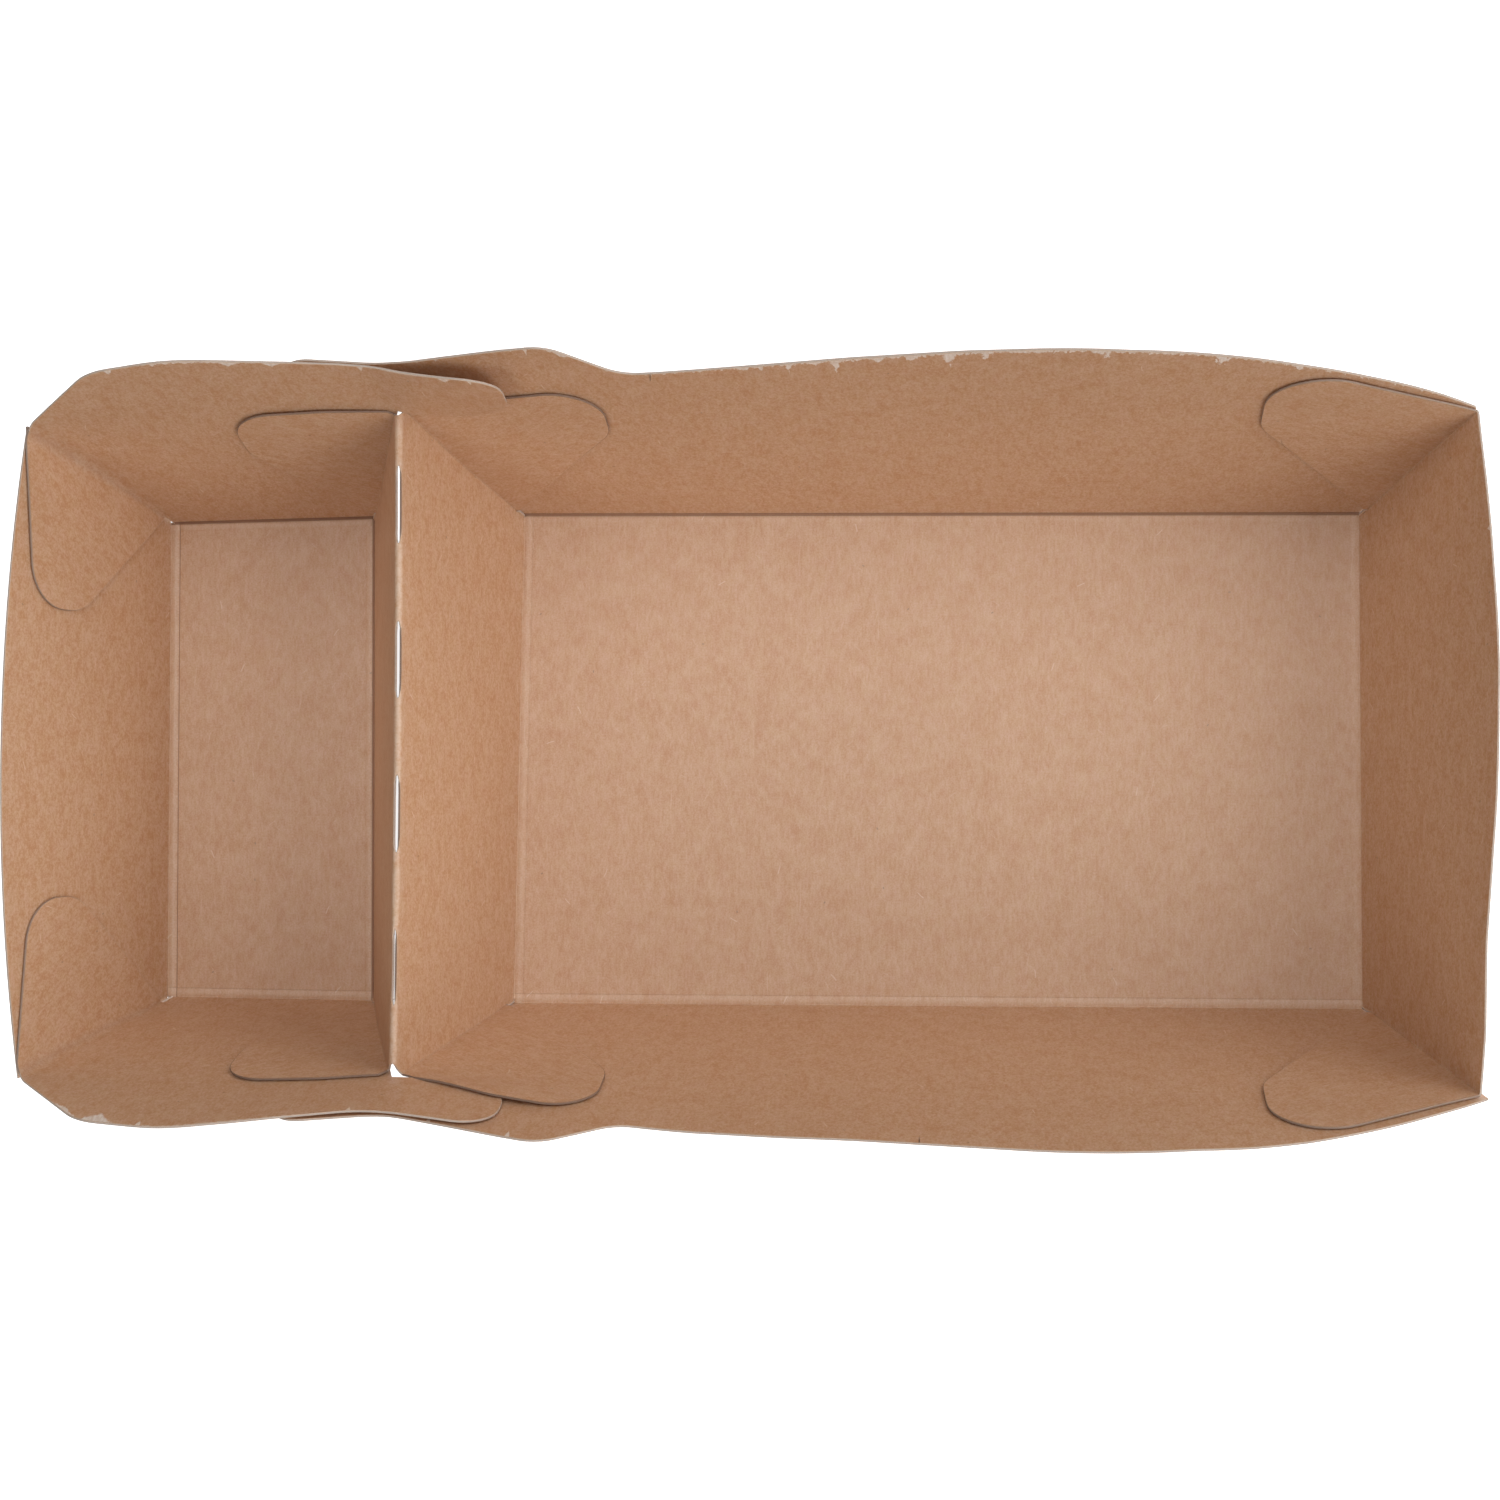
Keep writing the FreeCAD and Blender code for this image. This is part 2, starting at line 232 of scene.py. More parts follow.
def crease(parent, child, inner, parentPlace, childPlace, widen=None):
    # the line where two panels meet, and how the board bends over it
    n1, n2 = parent["inward"], child["inward"]
    along = unit(np.cross(n1, n2))
    spot = np.linalg.solve(np.array([n1, n2, along]),
                           np.array([n1 @ parent["point"], n2 @ child["point"], along @ childPlace]))
    away = np.cross(along, n1)
    away *= -np.sign(away @ (parentPlace - spot))
    beyond = np.cross(along, n2)
    beyond *= np.sign(beyond @ (childPlace - spot))
    c = {"parent": parent, "child": child, "spot": spot, "along": along, "away": away, "beyond": beyond,
         "angle": math.acos(max(-1, min(1, away @ beyond))), "side": np.sign(beyond @ n1),
         "inner": inner, "widen": widen}
    child["crease"] = c
    parent["children"].append(c)
    return c


def onCrease(c, s):
    return c["spot"] + s * c["along"]


def bendRadius(c, s):
    if c["widen"] is None:
        return c["inner"] + board["thick"] / 2 + 0 * s
    s0, s1, outer = c["widen"]
    return c["inner"] + board["thick"] / 2 + (outer - c["inner"]) * np.clip((s - s0) / (s1 - s0), 0, 1)


def slack(c, s):
    # how much shorter the bend is than the square corner, on each side of it
    half = c["angle"] / 2
    return bendRadius(c, s) * (math.tan(half) - half)


def chain(p):
    # the creases between a panel and the large floor, its own first
    return [p["crease"], *chain(p["crease"]["parent"])] if p["crease"] else []


def unfold(p, place):
    # a place on a panel, laid back into the flat board
    for c in chain(p):
        s = (place - c["spot"]) @ c["along"]
        d = (place - c["spot"]) @ c["beyond"]
        place = onCrease(c, s) + (d - 2 * slack(c, s)) * c["away"]
    return place


def flat(p, x, h):
    return tuple(unfold(p, on(p, x, h))[:2])


def laid(p, shape):
    return [flat(p, x, h) for x, h in shape]


def mark(c, s, off=0.0):
    # a place on a crease's middle line in the flat, or beside it
    place = onCrease(c, s) - (slack(c, s) - off) * c["away"]
    return tuple(unfold(c["parent"], place)[:2])


def markAt(c, y, off=0.0):
    # the same, at a place across the tray
    return mark(c, (y - c["spot"][1]) / c["along"][1], off)


def along(c, p, h):
    # how far along a crease the height h of panel p comes
    start = (c["spot"] - p["point"]) @ p["up"]
    return (h - start) / (c["along"] @ p["up"])


def meets(c, p):
    # how far along a crease it meets the plane of panel p
    return p["inward"] @ (p["point"] - c["spot"]) / (p["inward"] @ c["along"])


def rounded(corners):
    # outline with the given corners, each (x, y, radius), in order
    points = []
    for i, (x, y, radius) in enumerate(corners):
        here = vec(x, y)
        if not radius:
            points.append((x, y))
            continue
        before = unit(vec(*corners[i - 1][:2]) - here)
        after = unit(vec(*corners[(i + 1) % len(corners)][:2]) - here)
        half = math.acos(max(-1, min(1, before @ after))) / 2
        centre = here + unit(before + after) * radius / math.sin(half)
        first = here + before * radius / math.tan(half) - centre
        last = here + after * radius / math.tan(half) - centre
        sweep = math.pi - 2 * half
        side, angle = board["roundSteps"]
        count = max(3, int(radius * sweep / side), int(math.degrees(sweep) / angle))
        for k in range(count + 1):
            f = k / count
            arm = (math.sin((1 - f) * sweep) * first + math.sin(f * sweep) * last) / math.sin(sweep)
            points.append(tuple(centre + arm))
    return points


def rimCorners(corners, end):
    # a side wall's rim corners as places on it
    base = {"end": (end, 0), "ridge": (ridgeX, 0), "crest": (ridgeX, ridgeHeight)}
    return [(base[kind][0] + x, base[kind][1] + h, radius) for kind, x, h, radius in corners]


def endRim(y):
    # height of an end wall's arched rim across the tray
    half = halfWidth + sideSin / sideCos * board["cornerHeight"]
    rise = board["endCrown"] - endCorner
    radius = (half * half + rise * rise) / (2 * rise)
    return board["endCrown"] - radius + math.sqrt(radius * radius - y * y)


def archedRim(p, start):
    # the rim of an end wall, from one place across the tray to the opposite one
    return [flat(p, y, endRim(y)) for y in np.linspace(start, -start, board["archPoints"])]


def rimMeets(c, p, h):
    # where a crease of an end wall reaches its rim
    for step in range(board["rounds"]):
        s = along(c, p, h)
        h = endRim(abs(onCrease(c, s)[1]))
    return s


def floorPanel():
    return panel((0, 0, 0), (1, 0, 0), (0, 1, 0), (0, 0, 1), 0)


def crossPanel(fold, leanSin, leanCos, way, ply=0):
    # a panel across the tray that leans towards +x or -x, the way that it is given
    return panel((fold, 0, 0), (0, 1, 0), (way * leanSin, 0, leanCos), (-way * leanCos, 0, leanSin), ply)


def sidePanel(way, ply):
    return panel((0, way * halfWidth, 0), (1, 0, 0), (0, way * sideSin, sideCos),
                 (0, -way * sideCos, sideSin), ply)


# the panels, each on its middle plane
floorLarge = floorPanel()
rightEnd = crossPanel(rightFold, endSin, endCos, 1)
panelRight = crossPanel(largeFold, divSin, divCos, -1)
panelLeft = crossPanel(smallFold, divSin, divCos, 1)
floorSmall = floorPanel()
leftEnd = crossPanel(leftFold, endSin, endCos, -1)
plies = {"large": 0, "endTab": 1, "tabRight": 1, "small": 1, "tabLeft": 2}
sides = {way: {**{key: sidePanel(way, ply) for key, ply in plies.items()},
               "sideTab": crossPanel(leftFold, endSin, endCos, -1, 1)} for way in (1, -1)}

# the creases; the numbers only say on which side of its crease each panel lies
inner = board["creaseBend"]
onLarge, onSmall = vec(0, 0, 0), vec(smallFold - 15, 0, 0)
foldRight = crease(floorLarge, rightEnd, inner, onLarge, on(rightEnd, 0, 20))
foldLarge = crease(floorLarge, panelRight, inner, onLarge, on(panelRight, 0, 15))
ridge = crease(panelRight, panelLeft, board["ridgeBend"], on(panelRight, 0, 15), on(panelLeft, 0, 15))
foldSmall = crease(panelLeft, floorSmall, inner, on(panelLeft, 0, 15), vec(smallFold - 15, 0, 0.2))
foldLeft = crease(floorSmall, leftEnd, inner, onSmall, on(leftEnd, 0, 20))
for way, side in sides.items():
    for name, base, key, place, x, h in (
            ("foldLarge", floorLarge, "large", vec(20, 0, 0), 20, 20),
            ("foldEnd", rightEnd, "endTab", on(rightEnd, 0, 20), rightFold - 9, 30),
            ("foldRight", panelRight, "tabRight", on(panelRight, 0, 15), largeFold + 8, 25),
            ("foldLeft", panelLeft, "tabLeft", on(panelLeft, 0, 15), smallFold - 6, 20),
            ("foldSmall", floorSmall, "small", onSmall, smallFold - 15, 20)):
        side[name] = crease(base, side[key], inner, place, on(side[key], x, h))
    onWall = on(side["small"], smallFold - 15, 20)
    c = crease(side["small"], side["sideTab"], board["cornerBend"][0], onWall,
               on(side["sideTab"], way * (halfWidth - 5), 20))
    c["widen"] = (meets(c, floorSmall), along(c, side["small"], sideCorner), board["cornerBend"][1])
    side["foldTab"] = c


def ears(c, p):
    # places at the foot of a panel's side edge, a little past its crease with a tab
    return [mark(c, along(c, p, board["tabFoot"] * f), board["ear"]) for f in board["earSteps"]]


def cornerOn(p, c, s):
    # a place on a crease as a sharp corner of a panel
    place = onCrease(c, s) - on(p, 0, 0)
    return place @ p["along"], place @ p["up"], 0


def tabOutline(p, c, foot, lean, tab, way, start, top, extra=()):
    # a glue tab from its crease: start and top are places along the crease
    reach, lower, upper, nose = tab
    tip = foot + way * reach
    near = (foot + lean * board["tabFoot"] + way * board["tabClear"], board["tabFoot"], 0)
    shape = rounded([near, (tip, lower, nose), (tip, upper, nose), *(extra or [cornerOn(p, c, top)])])
    return [mark(c, start), *laid(p, shape if extra else shape[:-1]), mark(c, top)]


# large floor and its walls
xRight = mark(foldRight, 0)[0]
xLeft = mark(foldLarge, 0)[0]
yLarge = abs(mark(sides[1]["foldLarge"], 0)[1])
yRight, yPanel, ySmall = [abs(onCrease(c, meets(c, sides[1][key]))[1]) for c, key in
                          ((foldRight, "endTab"), (foldLarge, "tabRight"), (foldSmall, "tabLeft"))]
floorLarge["outline"] = [(xLeft, yLarge), (xLeft, yPanel), (xLeft, -yPanel), (xLeft, -yLarge),
                         (xRight, -yLarge), (xRight, -yRight), (xRight, yRight), (xRight, yLarge)]

for way, side in sides.items():
    past, radius = board["largeCorner"][way]
    shape = rounded([(rightFold + board["overhang"], board["edgeStart"], 0),
                     (rightCorner + past, sideCorner, radius), *rimCorners(board["largeRim"], rightFold),
                     (largeFold - board["overhang"], board["edgeStart"], 0)])
    side["large"]["outline"] = [(xLeft, way * yLarge), (xRight, way * yLarge), *laid(side["large"], shape)]

# right end wall and its tabs
ends = {}
for way, side in sides.items():
    c = side["foldEnd"]
    ends[way] = (along(c, side["endTab"], board["tabFoot"]), rimMeets(c, rightEnd, endCorner))
    side["endTab"]["outline"] = tabOutline(side["endTab"], c, rightFold, endSin / endCos * sideCos,
                                           board["endTab"], -1, *ends[way])
rimHalf = abs(onCrease(sides[1]["foldEnd"], ends[1][1])[1])
arch = archedRim(rightEnd, -rimHalf)[1:-1]
earRight = {way: [*ears(side["foldEnd"], side["endTab"]), *[mark(side["foldEnd"], s) for s in ends[way]]]
            for way, side in sides.items()}
rightEnd["outline"] = [(xRight, yRight), (xRight, -yRight), *earRight[-1], *arch, *reversed(earRight[1])]


# divider panels, the ridge with its cuts, and the tabs
cutFirst = (board["cuts"] - 1) * board["pitch"] / 2 + board["cut"] / 2 + board["cutShift"]
cutMiddles = [cutFirst - board["cut"] / 2 - k * board["pitch"] for k in range(board["cuts"])]
ridgeEnd = {hand: hand * board["ridgeHalf"] + board["ridgeShift"] for hand in (1, -1)}
level = bendRadius(ridge, 0) * ridge["angle"] / 2 + board["notchDeep"]


def ridgeLine(way):
    # along the ridge from +y to -y; way is -1 on the large panel's side of each cut, +1 on the other
    points = [markAt(ridge, ridgeEnd[1])]
    power, root = board["cutLens"]
    for k, wide in enumerate(board["cutOpen"]):
        for f in board["cutSteps"]:
            lens = wide / 2 * (1 - abs(2 * f - 1) ** power) ** root
            points.append(markAt(ridge, cutFirst - k * board["pitch"] - f * board["cut"], way * lens))
    return points + [markAt(ridge, ridgeEnd[-1])]


def ridgeTip(hand, way):
    # the end of the board beside the crest: way is +1 on the small panel, -1 on the large one
    past = board["ridgeTip"][hand][0 if way < 0 else 1]
    return markAt(ridge, ridgeEnd[hand] + hand * past, way * level)


def dividerPanel(p, key, tabKey, tabSizes, foldX, way, foot):
    # a divider panel and its two tabs: way is 1 on the large side, -1 on the small side
    marks = {}
    for hand, side in sides.items():
        c, tab = side[key], side[tabKey]
        start = along(c, tab, board["tabFoot"])
        slope = (ridge["spot"] - p["point"]) @ p["up"] - slack(ridge, 0) - level - board["notchDrop"][hand]
        top = along(c, p, slope)
        lean = -way * divSin / divCos * sideCos
        shape = [(ridgeX + px, ridgeHeight + h, radius) for px, h, radius in board["tabTop"][way, hand]]
        tab["outline"] = tabOutline(tab, c, foldX, lean, tabSizes, way, start, top, shape)
        marks[hand] = (*ears(c, tab), mark(c, start), mark(c, top))
    p["outline"] = [*foot, *marks[1], ridgeTip(1, -way), *ridgeLine(-way), ridgeTip(-1, -way),
                    *reversed(marks[-1])]


footLarge = [(xLeft, way * yPanel) for way in (-1, 1)]
footSmall = [markAt(foldSmall, way * ySmall) for way in (-1, 1)]
dividerPanel(panelRight, "foldRight", "tabRight", board["largeDividerTab"], largeFold, 1, footLarge)
dividerPanel(panelLeft, "foldLeft", "tabLeft", board["smallDividerTab"], smallFold, -1, footSmall)

# small floor, its walls, their tabs and the left end wall
yEdge = abs(mark(sides[1]["foldSmall"], 0)[1])
xFold = mark(foldSmall, 0)[0]
xEnd = mark(foldLeft, 0)[0]
footTab = {}
for way, side in sides.items():
    c = side["foldTab"]
    footTab[way] = (unfold(floorSmall, onCrease(c, meets(c, floorSmall)))[0], way * yEdge)
floorSmall["outline"] = [(xFold, yEdge), *reversed(footSmall), (xFold, -yEdge), footTab[-1],
                         (xEnd, -yEdge), (xEnd, yEdge), footTab[1]]
for way, side in sides.items():
    p, c = side["small"], side["foldTab"]
    start = along(c, p, board["tabFoot"])
    top = along(c, p, sideCorner + board["smallCornerRise"])
    shape = rounded([(smallFold + board["overhang"], board["edgeStart"], 0),
                     *rimCorners(board["smallRim"], leftFold), cornerOn(p, c, top)])
    p["outline"] = [footTab[way], (xFold, way * yEdge), *laid(p, shape[:-1]), mark(c, top), mark(c, start)]
    lean = way * sideSin / sideCos * endCos
    foot = way * (halfWidth - board["thick"] / sideCos)
    tab = side["sideTab"]
    tab["outline"] = tabOutline(tab, c, foot, lean, board["sideTab"], -way, start, top)


def leftHalf(h):
    # half the width of the left end wall at a height
    return halfWidth - board["thick"] / sideCos + board["overhang"] + sideSin / sideCos * endCos * h


topHeight = endCorner
for step in range(board["rounds"]):
    topHeight = endRim(leftHalf(topHeight))
reach, low = leftHalf(topHeight), leftHalf(board["edgeStart"])
leftEnd["outline"] = [(xEnd, -yEdge), (xEnd, yEdge), flat(leftEnd, low, board["edgeStart"]),
                      *archedRim(leftEnd, reach), flat(leftEnd, -low, board["edgeStart"])]
print("board: outlines drawn")


# one flat mesh, scored with the lines that it bends on
def addPanel(p):
    # a panel's outline as one face, from a flat disc whose rim is drawn out to it
    outline = p["outline"]
    bpy.ops.mesh.primitive_circle_add(vertices=len(outline), radius=1, fill_type="NGON")
    piece = bpy.context.object
    area = sum(a[0] * b[1] - b[0] * a[1] for a, b in zip(outline, outline[1:] + outline[:1]))
    if area < 0:
        outline = outline[::-1]
    for v, (x, y) in zip(piece.data.vertices, outline):
        v.co = (x, y, 0)
    piece.data.attributes.new("panel", "INT", "FACE").data[0].value = p["index"]
    return piece


pick(*[addPanel(p) for p in panels])
bpy.ops.object.join()
tray = bpy.context.object
tray.name = tray.data.name = "trayBoard"
editAll()
bpy.ops.mesh.remove_doubles(threshold=board["weld"][0])


def score(place, across, faces=None):
    # cut a straight line through the flat board, or through some of its panels
    bpy.ops.mesh.select_all(action="SELECT" if faces is None else "DESELECT")
    if faces is not None:
        bpy.ops.object.mode_set(mode="OBJECT")
        label = tray.data.attributes["panel"].data
        for face in tray.data.polygons:
            face.select = label[face.index].value in faces
        bpy.ops.object.mode_set(mode="EDIT")
    bpy.ops.mesh.bisect(plane_co=(*place, 0), plane_no=(*unit(vec(*across)), 0), threshold=board["scoreNear"])


def creaseLines(c):
    # lines along a crease: through its bend, and over its raised bead on a floor
    steps = board["bendSteps"][bool(c["widen"]) or c is ridge]
    offs = [(2 * k / steps - 1, 0.0) for k in range(steps + 1)]
    if c["bead"]:
        offs += [(c["bead"], c["bead"] * (board["beadGap"] + f * board["beadWidth"]))
                 for f in board["beadSteps"]]
        offs += [(way, way * off) for off in (board["foldShade"], board["foldShade"] + board["shadeFade"])
                 for way in (1, -1)]
    # each line runs through two places on the crease
    return [[mark(c, s, part * bendRadius(c, s) * c["angle"] / 2 + off) for s in (0.0, 30.0)]
            for part, off in offs]


floors = (floorLarge["index"], floorSmall["index"])
creases = [p["crease"] for p in panels if p["crease"]]
for c in creases:
    # a crease with a floor has its bead on the floor's side
    c["bead"] = -1 if c["parent"]["index"] in floors else 1 if c["child"]["index"] in floors else 0
    c["look"] = (1.0, 0.0, 0.35)
# how high each floor fold's bead is, and how much painted shade darkens the groove inside it and the fold
# itself
for c, *look in ((foldLeft, 1.0, 1.0, 0.2), (foldLarge, 0.8, 0.15, 0.1), (foldSmall, 0.9, 0.0, 0.9),
                 (foldRight, 0.35, 0.0, 0.25),
                 (sides[1]["foldSmall"], 1.0, 0.0, 1.0), (sides[-1]["foldSmall"], 0.8, 0.3, 0.2),
                 (sides[1]["foldLarge"], 0.45, 0.0, 0.9), (sides[-1]["foldLarge"], 0.7, 0.25, 0.2)):
    c["look"] = look
for c in creases:
    beside = {c["parent"]["index"], c["child"]["index"]}
    for (ax, ay), (bx, by) in creaseLines(c):
        score((ax, ay), (ay - by, bx - ax), beside)
for axis, spread in enumerate(zip(*[q for p in panels for q in p["outline"]])):
    count = int((max(spread) - min(spread)) / board["cell"])
    for place in np.linspace(min(spread), max(spread), count + 1)[1:-1]:
        spot = [0, 0]
        spot[axis] = place + board["gridShift"]
        score(spot, (1 - axis, axis))
bpy.ops.mesh.select_all(action="SELECT")
bpy.ops.mesh.remove_doubles(threshold=board["weld"][1])
bpy.ops.object.mode_set(mode="OBJECT")
print("board: scored,", len(tray.data.polygons), "faces")


def ramp(x, start, end):
    # rises smoothly from 0 at start to 1 at end
    x = np.clip((x - start) / (end - start), 0, 1)
    return x * x * (3 - 2 * x)


def cutShare(y):
    # how fully each place along the ridge belongs to a cut, and how far that cut is pinched shut
    share, pinch = 0 * y, 0 * y
    edge = board["cut"] / 2 + board["cutEase"][0]
    for middle, shut in zip(cutMiddles, board["cutPinch"]):
        here = ramp(np.abs(y - middle), edge, edge - board["cutEase"][1])
        share, pinch = np.maximum(share, here), np.maximum(pinch, here * shut)
    return share, pinch


# folding: every panel turns about its crease, the outermost ones first
def creaseAxes(c, off, offNext):
    # a place beside a crease in the flat, the crease's direction there, and the direction past it
    spot, following, past = [vec(*mark(c, s, d), 0) for s, d in ((0, off), (1, offNext), (0, off + 1))]
    line = unit(following - spot)
    away = np.cross(line, (0, 0, 1.0))
    return spot, line, away * np.sign(away @ (past - spot))


def foldOver(places, c, rigid=False):
    # bend a stretch of board over a crease, or turn it whole where it hangs on a panel past the crease
    spot, line, away = creaseAxes(c, slack(c, 0), slack(c, 1))
    q = places - spot
    s, t, n = q @ line, q @ away, q[:, 2] * c["side"]
    radius = bendRadius(c, s)
    reach = radius * math.tan(c["angle"] / 2)
    turned = np.clip((t + reach) / radius, 0, c["angle"])
    rest = np.maximum(t + reach - radius * c["angle"], 0)
    moved = t > -reach
    if rigid:
        turned, rest, moved = c["angle"] + 0 * t, t + reach - radius * c["angle"], t < np.inf

    def bent(angle, past):
        return (-reach + (radius - n) * np.sin(angle) + past * np.cos(angle),
                radius - (radius - n) * np.cos(angle) + past * np.sin(angle))

    bentOver = [np.where(moved, new, old) for new, old in zip(bent(turned, rest), (t, n))]
    if c is ridge and not rigid:
        # the cuts don't bend: each edge runs on straight up its own panel
        middle = radius * c["angle"] / 2 - reach
        share = cutShare(places[:, 1])[0] * np.clip(np.abs(t - middle) / board["cutEdge"], 0, 1)
        straight = [np.where(t > middle, new, old) for new, old in
                    zip(bent(c["angle"], t + reach - radius * c["angle"]), (t, n))]
        bentOver = [curved * (1 - share) + direct * share for curved, direct in zip(bentOver, straight)]
    t, n = bentOver
    return spot + np.outer(s, line) + np.outer(t, away) + np.outer(n * c["side"], (0, 0, 1.0))


def fromCrease(c, places):
    # distance past a crease's middle line in the flat, and along it
    spot, line, away = creaseAxes(c, 0, 0)
    return (places - spot) @ away, (places - spot) @ line


def isIn(*wanted):
    return np.isin(owner, [p["index"] for p in wanted])


mesh = tray.data
count = len(mesh.vertices)
places = np.zeros(count * 3)
mesh.vertices.foreach_get("co", places)
flatPlaces = places.reshape(-1, 3).copy()

# the panel that each vertex belongs to: where panels meet, the one nearer the large floor
rank = {p["index"]: len(chain(p)) for p in panels}
owner = np.full(count, -1)
label = np.array([item.value for item in mesh.attributes["panel"].data])
for face in mesh.polygons:
    mine = label[face.index]
    for v in face.vertices:
        if owner[v] < 0 or rank[mine] < rank[owner[v]]:
            owner[v] = mine

# raised beads, lifted tabs: both stand off the sheet before it folds
lift, creaseShade, bead = np.zeros((3, count))
for c in creases:
    near = isIn(c["parent"], c["child"])
    t, s = fromCrease(c, flatPlaces)
    bend = bendRadius(c, s) * c["angle"] / 2
    high, inside, deep = c["look"]
    if c["bead"]:
        f = (c["bead"] * t - bend - board["beadGap"]) / board["beadWidth"]
        hump = np.where((f > 0) & (f < 1), np.sin(np.pi * np.clip(f, 0, 1)) ** board["beadRound"], 0)
        lift += near * hump * board["beadHigh"] * high
        bead = np.maximum(bead, near * hump * high)
        middle, half, depth = board["beadLine"]
        # painted shade in the fine groove inside the bead, which is also pressed in below
        line = np.clip(1 - np.abs(f - middle) / half, 0, 1) * near * inside
        lift -= depth * line
        creaseShade = np.maximum(creaseShade, line)
    if c is ridge:
        wide, strong = board["ridgeRub"]
        rubbed = near * np.clip(wide - np.abs(t) / bend, 0, 1) * strong
    else:
        # painted shade along the fold itself, reaching further and flat across a deep score
        shade = np.clip(1 - np.abs(t) / (bend + board["thinFade"]), 0, 1)
        if deep > board["deepFold"]:
            reach = bend + board["foldShade"] + board["shadeFade"]
            shade = np.clip((reach - np.abs(t)) / board["shadeFade"], 0, 1)
        creaseShade = np.maximum(creaseShade, near * deep * shade)
start, end, need, most = board["tabRise"]
for way, side in sides.items():
    for key, amounts in board["tabLift"].items():
        p = side[key]
        t, s = fromCrease(p["crease"], flatPlaces)
        high = np.clip(s * abs(p["crease"]["along"][2]) / need, 0, most)
        lift += isIn(p) * amounts[0 if way > 0 else 1] * ramp(t, start, end) * high
flatPlaces[:, 2] += lift

folded = flatPlaces.copy()
for p in panels:
    mine = isIn(p)
    part = flatPlaces[mine]
    for c in p["children"]:
        part = foldOver(part, c)
    for c in chain(p):
        part = foldOver(part, c, c is not p["crease"])
    folded[mine] = part
folded[:, 2] += board["thick"] / 2
t, s = fromCrease(ridge, flatPlaces)
facing = 1.0 * isIn(panelRight) - isIn(panelLeft)
folded[:, 0] -= facing * cutShare(flatPlaces[:, 1])[1] * ramp(np.abs(t), board["cutReach"], 0)
print("board: folded", folded.min(0), folded.max(0))


# how the folded board has settled: lengths in mm; a pair is where a shift starts and where it is whole
settled = {
    "leanAt": (-96, -90, -70, -55, -42, -35, -25, -9, 14, 40, 70, 96),
    "lean": (-0.6, -0.5, 0.0, 0.5, 0.75, 0.5, 0.1, -0.3, -0.2, -0.3, -0.45, -0.5),
    "leanHeight": 45.0,          # height at which the walls have leant that far sideways
    "aboveRidge": (12, 1.3),     # the tongues part in this much height above the ridge, at most so far
    "tonguePly": {1: 0.58, -1: 0.0},   # one small tongue steps in over the divider tab
    "tongueStep": (-46.0, -40.0),
    "tonguePress": 0.65,               # and sits further in where the tab is behind it
    "tonguePressAt": (44, 40),
    "tongueGap": {1: 2.3, -1: 0.1},
    "tongueGapAt": (-50, -30),
    "tabPly": {1: 0.0, -1: 0.50},      # the other one lies under it
    "tabHigh": (-1.5, 1.5),            # above the ridge
    "tabNear": (0.5, 2.5),             # past the ridge
    "tabFar": (24, 14),
    "largeGap": {1: 0.15, -1: 0.0},
    "largeGapAt": (-38, -54),
    # each side's rim has moved in by so much at these places along the tray
    "rimAt": (-96, -88, -82, -70, -56, -41, -28, -20, -12, -4, 8, 17, 30, 37, 50, 58, 65, 72, 80, 90, 96),
    "rimIn": {1: (0, -0.3, -0.3, -0.38, -0.36, -0.47, -0.46, -0.22, -0.06, 0, -0.04, -0.1, -0.02, 0.24, 0.59,
                  0.55, 0.53, 0.52, 0.33, -0.2, -0.4),
              -1: (0.45, 0.4, 0.3, 0.08, 0.22, 0.2, 0.03, 0.05, -0.13, -0.4, -0.33, -0.11, 0, 0.05, 0.17,
                   0.25, 0, -0.08, 0.02, 0.08, 0)},
    "rimFrom": (18, 34),
    "rimHeight": (45, 1.1),
    # the low side's small wall has moved in further: by how much, about where, how widely
    "smallIn": (0.40, -44, 11),
    "smallFrom": (28, 42),
    "smallHeight": (33, 1.2),
    # the right end's rim, across the tray
    "endAt": (-42, -35, -29, -23.6, -17.8, -12, -6, 0, 6, 11, 17, 23, 28, 34, 40),
    "endIn": (0, -0.16, 0.06, 0.27, 0.23, 0.17, 0, -0.05, -0.1, -0.24, -0.3, -0.3, -0.34, -0.25, -0.1),
    "endFrom": (82, 92),
    "endHeight": (35, 1),
    # it also bows in on one side of its crown: by how much, about where, how widely
    "endBows": ((0.55, -27, 15), (-0.275, 10, 14)),
    "ridgeOver": 0.45,           # the ridge stands this far towards the large end
    "ridgeBow": (0.25, 42),      # and bows further in its middle
    "overFrom": (20, 10),
    "overHeight": (32, 1),
    "cornerOut": 0.55,           # one free wall corner that stands past its end wall
    "cornerFrom": (86, 94),
    "cornerHeight": (30, 1),
    "floorCrown": (0.12, 25, 55, 32),    # the large floor bulges: height, middle, half length, half width
    # the floors' corners are a little off square: shifts along and across the tray at the four folds that
    # cross it, from the left one on, each on the high side and on the low side
    "cornerShift": (((-0.60, 0.08, 0.69, 0.04), (-0.25, 0.60, -0.34, 0.17)),
                    ((-0.07, 0.56, 0.25, -0.52), (-0.50, -0.78, -0.40, -0.07))),
    "cornerShiftAt": (20, 0),    # heights
}
x, y, z = folded.T


def upTo(key):
    # grows with height, up to a limit
    height, most = settled[key]
    return np.clip(z / height, 0, most)


def hill(place, middle, wide):
    return np.exp(-((place - middle) / wide) ** 2)


